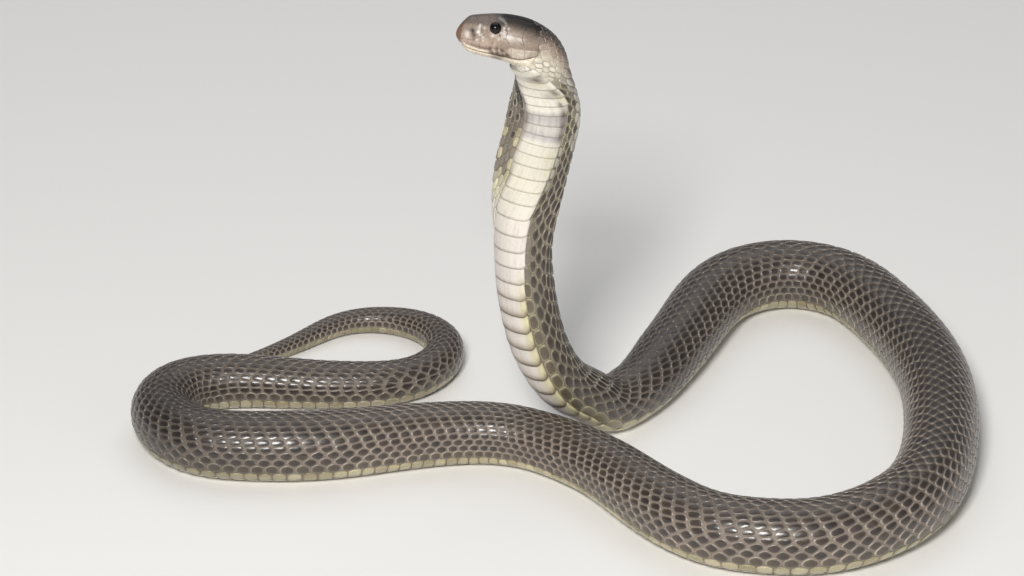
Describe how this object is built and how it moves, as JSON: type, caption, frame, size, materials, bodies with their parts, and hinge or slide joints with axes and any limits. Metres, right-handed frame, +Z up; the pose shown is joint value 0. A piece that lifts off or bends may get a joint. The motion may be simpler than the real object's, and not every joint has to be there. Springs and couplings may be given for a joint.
{
  "type": "caspian cobra model",
  "caption": "Still, life-size model of a Caspian cobra lying in one loose coil with its forebody raised, its hood slightly spread and its head turned to its right.",
  "frame": {"origin": "middle of the model's box, on the floor that the belly rests on", "axes": "+Z up, +X along the longest side of the coil, -Y towards the side that the belly of the raised forebody faces"},
  "size_m": [0.3118, 0.2324, 0.1731],
  "materials": {
    "skin": "smooth, slightly glossy dark brown-grey scales with paler borders",
    "belly": "smooth, satin, creamy white to pale yellow belly scutes",
    "eye": "very dark, wet-looking eye"
  },
  "bodies": {
    "root": {"head": "skin", "eye_left": "eye", "eye_right": "eye", "neck": "skin", "hood": "belly", "forebody_raised": "belly", "forebody_base": "skin", "body_01": "skin", "body_02": "skin", "body_03": "skin", "body_04": "skin", "body_05": "skin", "body_06": "skin", "body_07": "skin", "body_08": "skin", "body_09": "skin", "body_10": "skin", "body_11": "skin", "body_12": "skin", "body_13": "skin", "tail_1": "skin", "tail_2": "skin", "tail_3": "skin", "tail_4": "skin", "tail_tip": "skin"}
  },
  "joints": []
}
